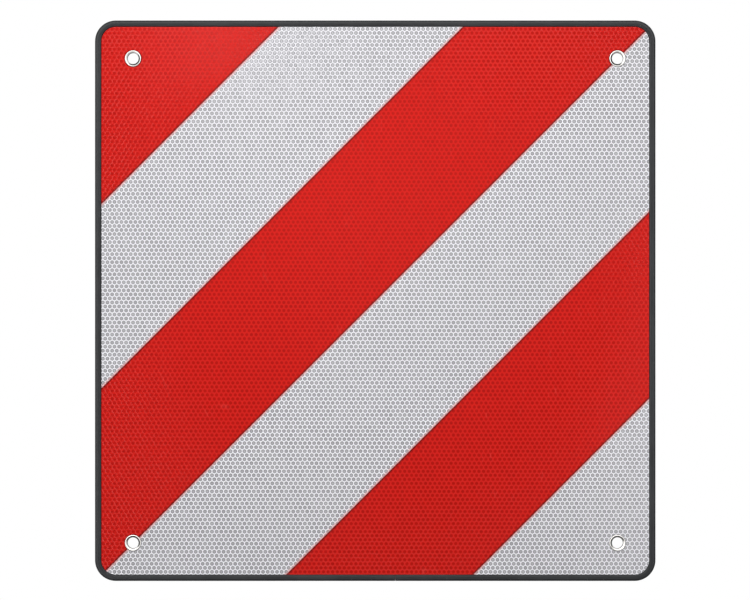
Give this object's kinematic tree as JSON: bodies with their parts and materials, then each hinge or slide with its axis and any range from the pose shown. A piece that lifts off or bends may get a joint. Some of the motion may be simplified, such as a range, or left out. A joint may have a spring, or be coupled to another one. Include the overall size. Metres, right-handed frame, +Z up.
{
  "type": "overhanging load sign",
  "caption": "Square reflective sign plate with diagonal red and white bands, a rubber edge trim and corner eyelets, fixed to the end of a load that overhangs a vehicle.",
  "frame": {"origin": "centre of the panel's rear face, which is the centre of the eyelet pattern", "axes": "+X to the viewer's right, +Z up, the striped front faces -Y"},
  "size_m": [0.5034, 0.0039, 0.5034],
  "materials": {
    "panel_metal": "mill finish",
    "white_sheet": "glossy film over a honeycomb",
    "red_film": "glossy translucent film",
    "trim_rubber": "satin extruded",
    "eyelet_plating": "polished nickel plate",
    "washer_plating": "bright plate"
  },
  "bodies": {
    "root": {"backing_panel": "panel_metal", "reflective_sheet": "white_sheet", "red_film_top_left": "red_film", "red_film_middle": "red_film", "red_film_bottom_right": "red_film", "edge_trim": "trim_rubber", "eyelet_top_left": "eyelet_plating", "eyelet_top_right": "eyelet_plating", "eyelet_bottom_left": "eyelet_plating", "eyelet_bottom_right": "eyelet_plating", "eyelet_washer_top_left": "washer_plating", "eyelet_washer_top_right": "washer_plating", "eyelet_washer_bottom_left": "washer_plating", "eyelet_washer_bottom_right": "washer_plating"}
  },
  "joints": []
}
